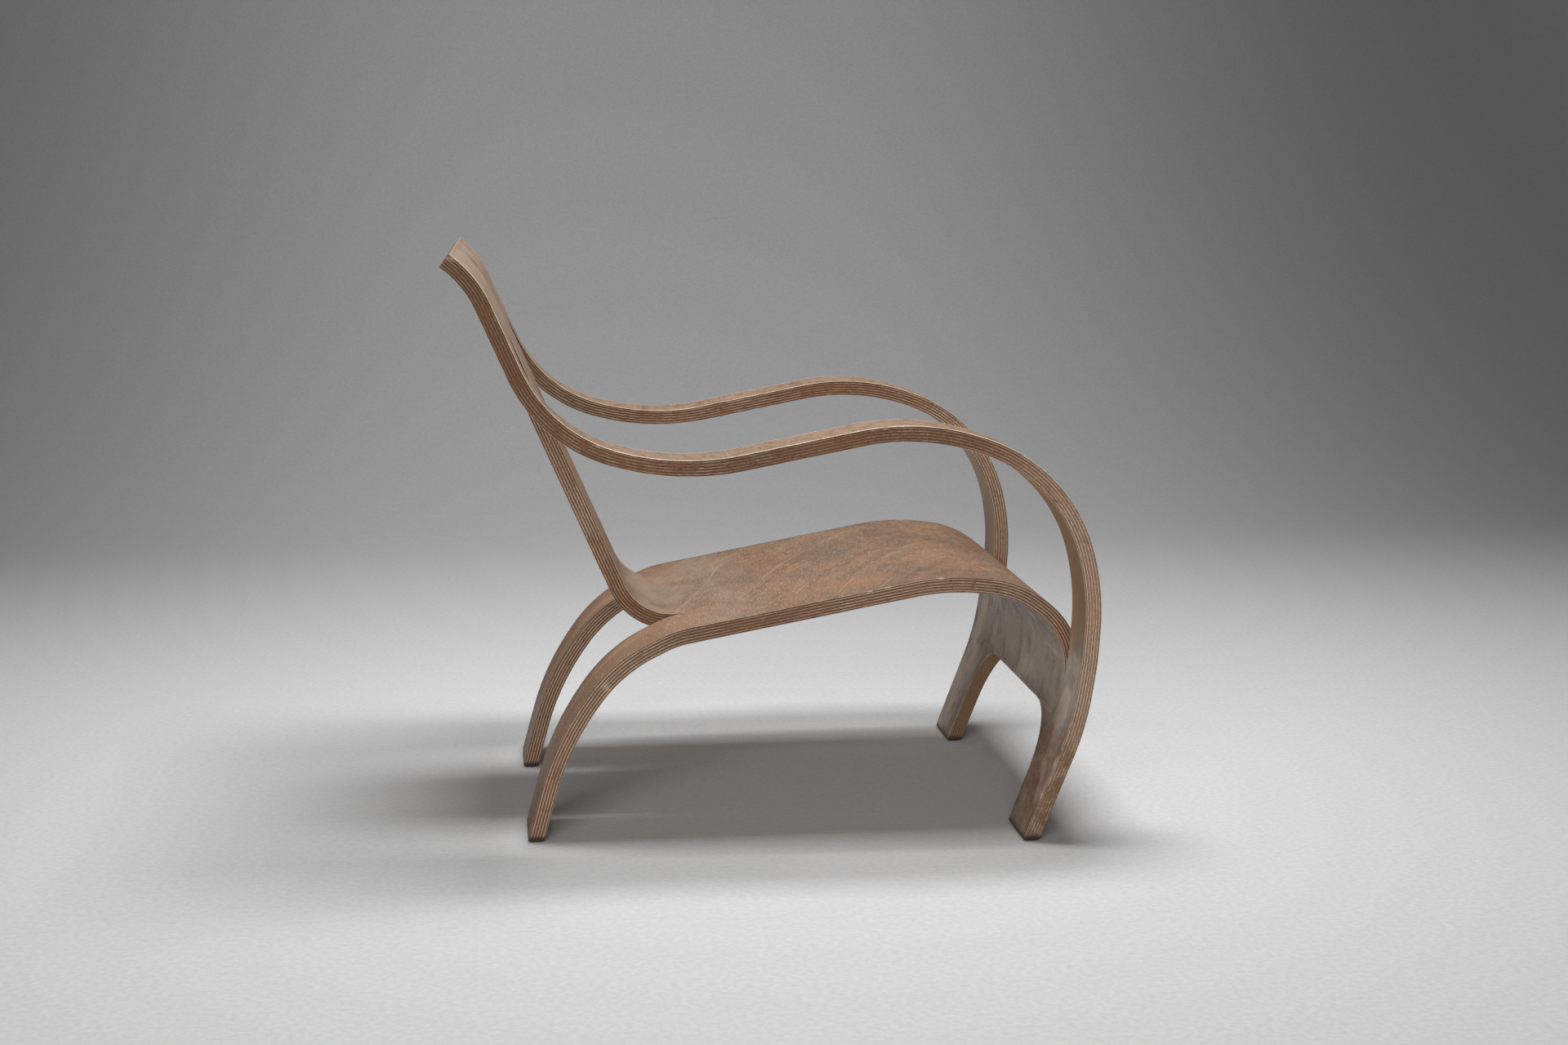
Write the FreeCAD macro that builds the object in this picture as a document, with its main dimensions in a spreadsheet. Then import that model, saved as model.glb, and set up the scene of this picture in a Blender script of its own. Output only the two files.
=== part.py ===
import FreeCAD, Part
import math
import os
import Sketcher
from FreeCAD import Placement, Rotation, Vector

# A bare lounge chair bent from one flat blank of eleven-ply wood.
# Slits part the blank into two arms, a back tongue, a seat and four legs.
# Millimetres, X to the front, Y to the left side, Z up.
# The origin is on the floor, in the middle of the chair's outline.

PLIES = [
    "upper_face_veneer",
    "cross_ply_02",
    "long_ply_03",
    "cross_ply_04",
    "long_ply_05",
    "core_ply_06",
    "long_ply_07",
    "cross_ply_08",
    "long_ply_09",
    "cross_ply_10",
    "under_face_veneer",
]

# Driving sizes, in millimetres
SIZES = {
    # Thickness of one veneer
    "ply": 1.8,
    # Middle line of the crest, arm and front leg, seen from the side.
    # Each bend has the corner that its two straight runs would meet in, and a radius.
    "crest_end_x": -396.1,
    "crest_end_z": 730.5,
    "crest_bend_x": -365.5,
    "crest_bend_z": 707.5,
    "crest_bend_radius": 134,
    "shoulder_x": -281,
    "shoulder_z": 515,
    "shoulder_radius": 185,
    "arm_rise_x": -117.5,
    "arm_rise_z": 471,
    "arm_rise_radius": 336,
    "arm_crown_x": 180,
    "arm_crown_z": 528.5,
    "arm_crown_radius": 294,
    "arm_front_x": 359,
    "arm_front_z": 462,
    "arm_front_radius": 197,
    "loop_x": 394.5,
    "loop_z": 312,
    "loop_radius": 300,
    "apron_x": 389,
    "apron_z": 230,
    "apron_radius": 380,
    "shin_x": 376,
    "shin_z": 146,
    "shin_radius": 380,
    "front_foot_x": 319,
    # Middle line of the rear leg and the seat, from the floor to the front roll
    "rear_foot_x": -298.5,
    "rear_shin_x": -265,
    "rear_shin_z": 121.5,
    "rear_shin_radius": 360,
    "rear_knee_x": -195,
    "rear_knee_z": 220,
    "rear_knee_radius": 195,
    "haunch_x": -121,
    "haunch_z": 256,
    "haunch_radius": 130,
    "seat_crown_x": 226,
    "seat_crown_z": 320,
    "seat_crown_radius": 300,
    "seat_front_x": 314,
    "seat_front_z": 308,
    "seat_front_radius": 124,
    "seat_roll_z": 248.5,
    "seat_roll_radius": 94,
    # Back tongue: its bend into the seat, and where the slits begin and end
    "tongue_bend_radius": 76,
    "root_drop": 88,
    "split_run": 2,
    "join_drop": 38.5,
    # Half widths, from the middle plane
    "crest_half": 306,
    "arm_half": 311,
    "arm_full_x": 197,
    "front_foot_half": 303,
    "arm_inner_half": 238,
    "side_slit": 3,
    "root_slit_half": 145,
    "tongue_top_half": 142,
    "tongue_low_half": 133,
    "rear_gap_half": 136.5,
    "crest_corner_radius": 7,
    # Arch cut in the apron, which leaves the two front legs
    "arch_z": 142,
    "arch_half": 208,
    "arch_foot_half": 212,
    "arch_radius": 75,
}

doc = FreeCAD.newDocument("bent_ply_lounge_chair")
sizes = doc.addObject("Spreadsheet::Sheet", "Sizes")
row = 0


def put(alias, content):
    global row
    row += 1
    sizes.set("A%d" % row, alias.replace("_", " "))
    sizes.set("B%d" % row, str(content))
    sizes.setAlias("B%d" % row, alias)


for alias, size in SIZES.items():
    put(alias, size)


def run(a, b):
    return "sqrt((%s_x - %s_x)^2 + (%s_z - %s_z)^2)" % (b, a, b, a)


def slope(a, b):
    return "atan2(%s_z - %s_z; %s_x - %s_x)" % (b, a, b, a)


def beyond(name, a, b, start, distance):
    # Point at a distance from start, in the direction from a to b
    for axis in "xz":
        step = "(%s_%s - %s_%s) / %s" % (b, axis, a, axis, run(a, b))
        put("%s_%s" % (name, axis), "=%s_%s + %s * %s" % (start, axis, distance, step))


def strand(name, corners):
    # Angle and radius of each bend. Two bends on one straight run stay clear of each other.
    bends = corners[1:-1]
    for a, b, c in zip(corners, bends, corners[2:]):
        put(b + "_turn", "=abs(%s - %s)" % (slope(b, c), slope(a, b)))
        put(b + "_reach", "=%s_radius * tan(%s_turn / 2)" % (b, b))
    for a, b in zip(corners, corners[1:]):
        used = " + ".join(c + "_reach" for c in (a, b) if c in bends)
        put("%s_%s_room" % (name, b), "=min(1; 0.99 * %s / (%s))" % (run(a, b), used))
    for b, c in zip(bends, corners[2:]):
        rooms = "%s_%s_room; %s_%s_room" % (name, b, name, c)
        put(b + "_bend", "=%s_radius * min(%s)" % (b, rooms))
    return corners


# Sizes that follow from the ones above
put("sheet", "=ply * %d" % len(PLIES))
put("front_foot_z", 0)
put("rear_foot_z", 0)
put("seat_half", "=arm_inner_half - side_slit")
put("flare_radius", "=arm_inner_half - root_slit_half")
put("leg_lean", "=(shin_x - apron_x) / (shin_z - apron_z)")
put("seat_roll_x", "=apron_x + (seat_roll_z - apron_z) * leg_lean")
beyond("root", "crest_bend", "shoulder", "crest_bend", "root_drop")
beyond("join", "apron", "shin", "apron", "join_drop")
beyond("front_end", "shin", "front_foot", "front_foot", "sheet")
beyond("rear_end", "rear_shin", "rear_foot", "rear_foot", "sheet")

# The tongue's bend lies where the line of the back meets the line of the seat
put("back_lean", "=(shoulder_x - crest_bend_x) / (shoulder_z - crest_bend_z)")
put("seat_rise", "=(seat_crown_z - haunch_z) / (seat_crown_x - haunch_x)")
put("seat_lift", "=haunch_z + seat_rise * (crest_bend_x - haunch_x) - crest_bend_z")
put("tongue_bend_z", "=crest_bend_z + seat_lift / (1 - back_lean * seat_rise)")
put("tongue_bend_x", "=crest_bend_x + back_lean * (tongue_bend_z - crest_bend_z)")
put("tongue_turn", "=abs(%s - %s)" % (slope("haunch", "seat_crown"), slope("crest_bend", "shoulder")))
put("tongue_end", "=tongue_bend_radius * tan(tongue_turn / 2) + split_run")
beyond("split", "haunch", "seat_crown", "tongue_bend", "tongue_end")

arm_line = strand("arm", [
    "crest_end", "crest_bend", "shoulder", "arm_rise", "arm_crown",
    "arm_front", "loop", "apron", "join",
])
leg_line = strand("leg", ["join", "shin", "front_end"])
seat_line = strand("seat", ["split", "seat_crown", "seat_front", "seat_roll", "join"])
rear_line = strand("rear", ["rear_end", "rear_shin", "rear_knee", "haunch", "split"])
tongue_line = strand("tongue", ["root", "tongue_bend", "split"])
doc.recompute()


def value(expression):
    result = sizes.evalExpression(expression)
    return float(getattr(result, "Value", result))


def outline(name, corners, closed):
    # Sketch of straight runs through dimensioned corners, rounded where a radius is given
    sketch = doc.addObject("Sketcher::SketchObject", name)
    points = [Vector(value(x), value(y), 0) for x, y, r in corners]
    count = len(points)
    sides = count if closed else count - 1
    rules = []
    driven = []

    # Guide lines through the corners
    for i in range(sides):
        sketch.addGeometry(Part.LineSegment(points[i], points[(i + 1) % count]), True)
    for i in range(sides - 1 if not closed else sides):
        rules.append(Sketcher.Constraint("Coincident", i, 2, (i + 1) % sides, 1))
    for i, (x, y, r) in enumerate(corners):
        guide, end = (i, 1) if i < sides else (i - 1, 2)
        rules.append(Sketcher.Constraint("DistanceX", -1, 1, guide, end, points[i].x))
        driven.append((len(rules) - 1, x))
        rules.append(Sketcher.Constraint("DistanceY", -1, 1, guide, end, points[i].y))
        driven.append((len(rules) - 1, y))

    # Where each bend begins and ends
    starts = list(points)
    ends = list(points)
    middles = [None] * count
    for i, (x, y, r) in enumerate(corners):
        if r is None:
            continue
        radius = value(r)
        back = (points[i - 1] - points[i]).normalize()
        ahead = (points[(i + 1) % count] - points[i]).normalize()
        half = back.getAngle(ahead) / 2
        starts[i] = points[i] + back * (radius / math.tan(half))
        ends[i] = points[i] + ahead * (radius / math.tan(half))
        inward = (back + ahead).normalize()
        middles[i] = points[i] + inward * (radius / math.sin(half) - radius)

    # The straight runs, each on its guide line
    lines = []
    for i in range(sides):
        j = (i + 1) % count
        lines.append(sketch.addGeometry(Part.LineSegment(ends[i], starts[j]), False))
    for i in range(sides):
        j = (i + 1) % count
        for end, corner in ((1, i), (2, j)):
            if middles[corner] is None:
                guide_end = 1 if corner == i else 2
                rules.append(Sketcher.Constraint("Coincident", lines[i], end, i, guide_end))
            else:
                rules.append(Sketcher.Constraint("PointOnObject", lines[i], end, i))

    # The bends, tangent to both of their runs
    for i, (x, y, r) in enumerate(corners):
        if r is None:
            continue
        left = (points[i] - starts[i]).cross(ends[i] - points[i]).z > 0
        first, last = (starts[i], ends[i]) if left else (ends[i], starts[i])
        arc = sketch.addGeometry(Part.Arc(first, middles[i], last), False)
        before = lines[i - 1]
        after = lines[i]
        rules.append(Sketcher.Constraint("Tangent", before, 2, arc, 1 if left else 2))
        rules.append(Sketcher.Constraint("Tangent", arc, 2 if left else 1, after, 1))
        rules.append(Sketcher.Constraint("Radius", arc, value(r)))
        driven.append((len(rules) - 1, r))

    sketch.addConstraint(rules)
    for index, expression in driven:
        sketch.setExpression("Constraints[%d]" % index, expression)
    return sketch


def cell(name):
    return "Sizes." + name


def path(name, corners):
    # Middle line of one strand of the sheet, in the upright plane through the middle
    ends = (corners[0], corners[-1])
    given = []
    for c in corners:
        radius = None if c in ends else cell(c + "_bend")
        given.append((cell(c + "_x"), cell(c + "_z"), radius))
    sketch = outline(name, given, False)
    sketch.Placement = Placement(Vector(0, 0, 0), Rotation(Vector(1, 0, 0), 90))
    return sketch


def prism(name, sketch, length):
    # Both ways from the sketch's plane
    solid = doc.addObject("Part::Extrusion", name)
    solid.Base = sketch
    solid.DirMode = "Normal"
    solid.Symmetric = True
    solid.Solid = True
    solid.setExpression("LengthFwd", length)
    return solid


def tilted(sketch, base, a, b):
    # Lay a sketch on the sheet, with its first direction along the run from a to b
    sketch.Placement = Placement(Vector(0, 0, 0), Rotation(Vector(0, 1, 0), 1))
    sketch.setExpression("Placement.Base.x", cell(base + "_x"))
    sketch.setExpression("Placement.Base.z", cell(base + "_z"))
    rise = "Sizes.%s_z - Sizes.%s_z" % (a, b)
    reach = "Sizes.%s_x - Sizes.%s_x" % (b, a)
    sketch.setExpression("Placement.Rotation.Angle", "atan2(%s; %s)" % (rise, reach))


FRONT = Placement(Vector(0, 0, 0), Rotation(Vector(1, 1, 1), 120))
WIDE = "4 * Sizes.arm_half"
LONG = "4 * Sizes.crest_end_z"

# Strands of the sheet
arm_path = path("arm_path", arm_line)
leg_path = path("leg_path", leg_line)
seat_path = path("seat_path", seat_line)
rear_path = path("rear_path", rear_line)
tongue_path = path("tongue_path", tongue_line)

# Outer edges of the crest and arms in plan, a little wider at the front
past = "2 * Sizes.crest_end_x"
ahead = "2 * Sizes.arm_front_x"
plan = outline("plan_outline", [
    (past, "-Sizes.crest_half", None),
    ("Sizes.crest_bend_x", "-Sizes.crest_half", None),
    ("Sizes.arm_full_x", "-Sizes.arm_half", None),
    (ahead, "-Sizes.arm_half", None),
    (ahead, "Sizes.arm_half", None),
    ("Sizes.arm_full_x", "Sizes.arm_half", None),
    ("Sizes.crest_bend_x", "Sizes.crest_half", None),
    (past, "Sizes.crest_half", None),
], True)
plan_prism = prism("plan_prism", plan, LONG)

# Opening between the arms, which flares out from the root of the two slits
below = "2 * Sizes.crest_end_z"
flare = outline("flare_outline", [
    ("0", "-Sizes.arm_inner_half", "Sizes.flare_radius"),
    (below, "-Sizes.arm_inner_half", None),
    (below, "Sizes.arm_inner_half", None),
    ("0", "Sizes.arm_inner_half", "Sizes.flare_radius"),
], True)
tilted(flare, "root", "crest_bend", "shoulder")
flare_prism = prism("flare_prism", flare, LONG)

# Rounded corners of the crest
nip = "-2 * Sizes.crest_corner_radius"
edge = "Sizes.crest_half + Sizes.sheet"
corners = outline("crest_corners", [
    (nip, "-Sizes.crest_half", None),
    ("0", "-Sizes.crest_half", "Sizes.crest_corner_radius"),
    ("0", "Sizes.crest_half", "Sizes.crest_corner_radius"),
    (nip, "Sizes.crest_half", None),
    (nip, edge, None),
    ("Sizes.sheet", edge, None),
    ("Sizes.sheet", "-(%s)" % edge, None),
    (nip, "-(%s)" % edge, None),
], True)
tilted(corners, "crest_end", "crest_bend", "crest_end")
corner_prism = prism("corner_prism", corners, "4 * Sizes.sheet")

# Front legs and apron, with the arch between the legs
top = "2 * Sizes.join_z"
taper = "Sizes.join_z - Sizes.sheet / 2"
front = outline("front_outline", [
    ("-Sizes.front_foot_half", "0", None),
    ("-Sizes.arch_foot_half", "0", None),
    ("-Sizes.arch_half", "Sizes.arch_z", "Sizes.arch_radius"),
    ("Sizes.arch_half", "Sizes.arch_z", "Sizes.arch_radius"),
    ("Sizes.arch_foot_half", "0", None),
    ("Sizes.front_foot_half", "0", None),
    ("Sizes.arm_half", taper, None),
    ("Sizes.arm_half", top, None),
    ("-Sizes.arm_half", top, None),
    ("-Sizes.arm_half", taper, None),
], True)
front.Placement = FRONT
front_prism = prism("front_prism", front, LONG)

# Rear legs stand on the floor, on both sides of the gap that the tongue leaves
rear = outline("rear_outline", [
    ("-Sizes.seat_half", "0", None),
    ("-Sizes.rear_gap_half", "0", None),
    ("-Sizes.rear_gap_half", "Sizes.crest_end_z", None),
    ("-Sizes.seat_half", "Sizes.crest_end_z", None),
], True)
rear.Placement = FRONT
rear_side = prism("rear_side", rear, LONG)
rear_other = doc.addObject("Part::Mirroring", "rear_other")
rear_other.Source = rear_side
rear_other.Normal = Vector(0, 1, 0)
rear_pair = doc.addObject("Part::MultiFuse", "rear_pair")
rear_pair.Shapes = [rear_side, rear_other]

# Tongue, a little narrower at the seat than at its root
high = "Sizes.root_z + Sizes.sheet"
tongue = outline("tongue_outline", [
    ("-Sizes.tongue_low_half", "0", None),
    ("Sizes.tongue_low_half", "0", None),
    ("Sizes.tongue_low_half", "Sizes.split_z", None),
    ("Sizes.tongue_top_half", "Sizes.root_z", None),
    ("Sizes.tongue_top_half", high, None),
    ("-Sizes.tongue_top_half", high, None),
    ("-Sizes.tongue_top_half", "Sizes.root_z", None),
    ("-Sizes.tongue_low_half", "Sizes.split_z", None),
], True)
tongue.Placement = FRONT
tongue_prism = prism("tongue_prism", tongue, LONG)

# Everything that the outline of the crest and arms keeps
removed = doc.addObject("Part::MultiFuse", "arm_removed")
removed.Shapes = [flare_prism, corner_prism]
arm_kept = doc.addObject("Part::Cut", "arm_kept")
arm_kept.Base = plan_prism
arm_kept.Tool = removed


def veneer(name, source, number, width):
    # One ply of a strand: a band between two offsets of its middle line
    inner = doc.addObject("Part::Offset2D", name + "_line")
    inner.Source = source
    inner.Mode = "Skin"
    inner.Join = "Arc"
    inner.setExpression("Value", "Sizes.sheet / 2 - %d * Sizes.ply" % number)
    band = doc.addObject("Part::Offset2D", name + "_band")
    band.Source = inner
    band.Mode = "Skin"
    band.Join = "Arc"
    band.Fill = True
    band.setExpression("Value", "Sizes.ply")
    solid = doc.addObject("Part::Extrusion", name)
    solid.Base = band
    solid.DirMode = "Custom"
    solid.Dir = Vector(0, 1, 0)
    solid.Symmetric = True
    solid.Solid = True
    solid.setExpression("LengthFwd", width)
    return solid


def kept(name, solid, shape):
    common = doc.addObject("Part::Common", name)
    common.Base = solid
    common.Tool = shape
    return common


# Every ply is cut to the same outlines, and its strands meet face to face
nodes = []
for number, label in enumerate(PLIES, 1):
    tag = "ply%d" % number
    arm = veneer(tag + "_arm", arm_path, number, WIDE)
    leg = veneer(tag + "_leg", leg_path, number, WIDE)
    hind = veneer(tag + "_rear", rear_path, number, WIDE)
    back = veneer(tag + "_tongue", tongue_path, number, WIDE)
    seat = veneer(tag + "_seat", seat_path, number, "2 * Sizes.seat_half")
    whole = doc.addObject("Part::MultiFuse", label)
    whole.Shapes = [
        kept(tag + "_arm_cut", arm, arm_kept),
        kept(tag + "_leg_cut", leg, front_prism),
        kept(tag + "_rear_cut", hind, rear_pair),
        kept(tag + "_tongue_cut", back, tongue_prism),
        seat,
    ]
    whole.Refine = True
    whole.Label = label
    nodes.append(whole)

doc.recompute()

# Nothing is written unless every feature came out whole
for item in doc.Objects:
    if "Invalid" in item.State or "Error" in item.State:
        raise RuntimeError("failed feature: " + item.Name)
for node in nodes:
    if node.Shape.isNull() or not node.Shape.isValid():
        raise RuntimeError("bad shape: " + node.Label)
    if len(node.Shape.Solids) != 1:
        raise RuntimeError("not one solid: " + node.Label)

os.makedirs("parts", exist_ok=True)
for node in nodes:
    node.Shape.exportStep("parts/" + node.Label + ".step")
box = FreeCAD.BoundBox()
for node in nodes:
    box.add(node.Shape.BoundBox)
print("length", round(box.XLength, 2), "width", round(box.YLength, 2), "height", round(box.ZLength, 2))
print("x", round(box.XMin, 2), round(box.XMax, 2), "z", round(box.ZMin, 2), round(box.ZMax, 2))
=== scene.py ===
"""A bare lounge chair bent from one slit sheet of eleven-ply wood, dressed for a studio picture."""

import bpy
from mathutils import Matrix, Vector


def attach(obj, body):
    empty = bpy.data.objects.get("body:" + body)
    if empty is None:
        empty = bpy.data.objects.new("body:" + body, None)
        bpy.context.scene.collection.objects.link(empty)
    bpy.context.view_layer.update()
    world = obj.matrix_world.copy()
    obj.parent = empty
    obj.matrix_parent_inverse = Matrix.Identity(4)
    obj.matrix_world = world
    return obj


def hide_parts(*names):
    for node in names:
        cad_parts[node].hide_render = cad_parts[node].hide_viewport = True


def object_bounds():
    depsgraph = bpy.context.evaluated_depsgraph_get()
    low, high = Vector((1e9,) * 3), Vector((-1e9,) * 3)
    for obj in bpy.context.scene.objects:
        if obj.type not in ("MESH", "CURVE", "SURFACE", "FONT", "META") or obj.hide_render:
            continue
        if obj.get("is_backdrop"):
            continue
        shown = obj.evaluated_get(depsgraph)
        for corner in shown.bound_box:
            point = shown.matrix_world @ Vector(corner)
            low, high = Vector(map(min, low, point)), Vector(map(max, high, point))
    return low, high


bl_info = {
    "name": "Bent Ply Lounge Chair",
    "version": (1, 0, 0),
    "blender": (4, 5, 0),
    "location": "View3D > Sidebar > Chair",
    "description": "Builds the veneers of a bent plywood lounge chair and its studio",
    "category": "Object",
}

import math
from collections import namedtuple

import bpy
import numpy as np
from bpy.props import FloatProperty, FloatVectorProperty, PointerProperty
from mathutils import Vector

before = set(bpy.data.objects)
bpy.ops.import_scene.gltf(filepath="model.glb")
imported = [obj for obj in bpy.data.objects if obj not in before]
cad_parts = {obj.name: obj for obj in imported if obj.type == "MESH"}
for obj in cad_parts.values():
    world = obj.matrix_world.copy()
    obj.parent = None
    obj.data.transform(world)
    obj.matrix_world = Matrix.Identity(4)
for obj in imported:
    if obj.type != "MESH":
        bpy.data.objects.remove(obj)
CAD_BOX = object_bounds()

PLIES = [
    "upper_face_veneer", "cross_ply_02", "long_ply_03", "cross_ply_04", "long_ply_05", "core_ply_06",
    "long_ply_07", "cross_ply_08", "long_ply_09", "cross_ply_10", "under_face_veneer",
]
MM = 0.001


# Sizes of the bent sheet, in millimetres. A side is a distance across, from the chair's middle

HALF_THICK = 9.9                                    # half the thickness of all eleven plies
CREST_SIDE, ARM_SIDE, FOOT_SIDE = 306, 311, 303     # outer edge at the crest, the arms and the front feet
WIDEST_X = 197                                      # the arms have their full width from here forward
CREST_ROUND = 7                                     # rounded corners of the crest
ROOT_SIDE, TOE_SIDE = 142, 133                      # edge of the back tongue at its root and at the seat
SLIT_SIDE, SLIT_ROUND = 145, 93                     # inner edge of the arm at the root, and its rounding
ARM_INSIDE = SLIT_SIDE + SLIT_ROUND
REAR_INSIDE, SEAT_SIDE = 136.5, 235                 # inner and outer edge of the rear legs
LEG_INSIDE, FOOT_INSIDE = 208, 212                  # inner edge of the front legs, above and at the floor
ARCH_HEIGHT, ARCH_ROUND = 142, 75                   # the arch between the front legs, and its corners
ROOT_DEPTH = 88                                     # from the crest's bend down to the root of the slits
JOIN_DEPTH = 38.5                                   # from the apron's bend down to where arms and seat meet
ROLL_HEIGHT = 248.5                                 # where the seat front rolls over into the apron
TONGUE_ROUND, SPLIT_RUN = 76, 2                     # bend of the tongue, and straight run up to the split
FOOT_ROW = 9                                        # first row of faces above the floor
EDGE_ROWS = (0, 1.6, 4, 9, 20)                      # rows of faces beside the edges of a wide strip
FULL_ROWS, NO_ROWS = 68, 8                          # strips slimmer than these have closer rows, or none

# The crest's end is a little out of square: this much lower at the far corner, faded out along the sheet
SKEW, SKEW_REACH = 8.0, 60.0


# Middle lines of the sheet, seen from the side

Run = namedtuple("Run", "start end length")
Bend = namedtuple("Bend", "centre start length turn radius")


def bent_line(corners):
    """Straight runs and tangent arcs through corners of (x, z, radius)."""
    points = [Vector((x, z)) for x, z, radius in corners]
    pieces = []
    at = points[0]
    for i in range(1, len(points) - 1):
        radius = corners[i][2]
        back = (points[i - 1] - points[i]).normalized()
        ahead = (points[i + 1] - points[i]).normalized()
        half = back.angle(ahead) / 2
        reach = radius / math.tan(half)
        start = points[i] + back * reach
        centre = points[i] + (back + ahead).normalized() * (radius / math.sin(half))
        turn = 1 if (-back).cross(ahead) > 0 else -1
        sweep = math.pi - 2 * half
        pieces.append(Run(at, start, (start - at).length))
        pieces.append(Bend(centre, start, sweep * radius, turn, radius))
        at = points[i] + ahead * reach
    pieces.append(Run(at, points[-1], (points[-1] - at).length))
    return pieces


def length_of(line):
    return sum(piece.length for piece in line)


def station(line, s):
    """Place and travel direction at a distance along a middle line."""
    for piece in line:
        if s <= piece.length + 1e-9 or piece is line[-1]:
            break
        s -= piece.length
    if isinstance(piece, Run):
        direction = (piece.end - piece.start).normalized()
        return piece.start + direction * s, direction
    angle = piece.turn * s / piece.radius
    cosine, sine = math.cos(angle), math.sin(angle)
    arm = piece.start - piece.centre
    arm = Vector((arm.x * cosine - arm.y * sine, arm.x * sine + arm.y * cosine))
    direction = Vector((-arm.y, arm.x)).normalized() * piece.turn
    return piece.centre + arm, direction


def crossing(a, b, c, d):
    """Where the line through a and b meets the line through c and d."""
    u, v, w = b - a, d - c, c - a
    return a + u * (w.cross(v) / u.cross(v))


def along(a, b, distance):
    return a + (b - a).normalized() * distance


def corner(point, radius=0):
    return (point.x, point.y, radius)


CREST_END, CREST_BEND, SHOULDER = Vector((-396.1, 730.5)), Vector((-365.5, 707.5)), Vector((-281, 515))
APRON, SHIN, FRONT_FOOT = Vector((389, 230)), Vector((376, 146)), Vector((319, 0))
HAUNCH, SEAT_CROWN = Vector((-121, 256)), Vector((226, 320))
ROOT = along(CREST_BEND, SHOULDER, ROOT_DEPTH)
JOIN = along(APRON, SHIN, JOIN_DEPTH)
ROLL_X = APRON.x + (ROLL_HEIGHT - APRON.y) * (SHIN.x - APRON.x) / (SHIN.y - APRON.y)
SEAT_ROLL = Vector((ROLL_X, ROLL_HEIGHT))
TONGUE_BEND = crossing(CREST_BEND, SHOULDER, HAUNCH, SEAT_CROWN)
TONGUE_TURN = (SHOULDER - CREST_BEND).angle(SEAT_CROWN - HAUNCH)
BEND_DISTANCE = (TONGUE_BEND - HAUNCH).dot((SEAT_CROWN - HAUNCH).normalized())
SPLIT = along(HAUNCH, SEAT_CROWN, BEND_DISTANCE + TONGUE_ROUND * math.tan(TONGUE_TURN / 2) + SPLIT_RUN)

ARM_LINE = bent_line([
    corner(CREST_END), corner(CREST_BEND, 134), corner(SHOULDER, 185), (-117.5, 471, 336), (180, 528.5, 294),
    (359, 462, 197), (394.5, 312, 300), corner(APRON, 380), corner(JOIN),
])
LEG_LINE = bent_line([corner(JOIN), corner(SHIN, 380), corner(FRONT_FOOT)])
SEAT_LINE = bent_line([
    corner(SPLIT), corner(SEAT_CROWN, 300), (314, 308, 124), corner(SEAT_ROLL, 94), corner(JOIN),
])
REAR_LINE = bent_line([
    (-298.5, 0, 0), (-265, 121.5, 360), (-195, 220, 195), corner(HAUNCH, 130), corner(SPLIT),
])
TONGUE_LINE = bent_line([corner(ROOT), corner(TONGUE_BEND, TONGUE_ROUND), corner(SPLIT)])

CREST_LENGTH = ARM_LINE[0].length + ARM_LINE[1].length + (ROOT - ARM_LINE[2].start).length
ARM_LENGTH = length_of(ARM_LINE)
# The flat way over the arms is longer than over the seat: the seat's distances are stretched by this
SEAT_SHARE = (ARM_LENGTH - CREST_LENGTH) / (length_of(TONGUE_LINE) + length_of(SEAT_LINE))
ARCH_START = next(s for s in np.arange(0, 120, 0.02) if station(LEG_LINE, s)[0].y <= ARCH_HEIGHT)


# Edge curves of the blank: the side at a distance along a middle line

def slope_between(value, a, b, low, high):
    share = min(1.0, max(0.0, (value - a) / (b - a)))
    return low + (high - low) * share


def round_in(depth, radius):
    """Width of a quarter round at a depth from its tip."""
    depth = min(max(depth, 0.0), radius)
    return math.sqrt(max(0.0, radius ** 2 - (radius - depth) ** 2))


def arm_outer(s):
    side = slope_between(station(ARM_LINE, s)[0].x, CREST_BEND.x, WIDEST_X, CREST_SIDE, ARM_SIDE)
    return side - CREST_ROUND + round_in(s, CREST_ROUND)


def arm_inner(s):
    return SLIT_SIDE + round_in(s - CREST_LENGTH, SLIT_ROUND)


def leg_outer(s):
    return slope_between(station(LEG_LINE, s)[0].y, 0, JOIN.y - HALF_THICK, FOOT_SIDE, ARM_SIDE)


def leg_inner(s):
    z = station(LEG_LINE, s)[0].y
    side = slope_between(z, 0, ARCH_HEIGHT, FOOT_INSIDE, LEG_INSIDE)
    return side - ARCH_ROUND + round_in(ARCH_HEIGHT - z, ARCH_ROUND)


def leg_strip(s):
    return leg_inner(s) + REAR_INSIDE - TOE_SIDE


def tongue_side(s):
    return slope_between(station(TONGUE_LINE, s)[0].y, SPLIT.y, ROOT.y, TOE_SIDE, ROOT_SIDE)


# The blank as one sheet of quads

X, Y, Z, TRAVEL_X, TRAVEL_Z, FLAT = range(6)


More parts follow.
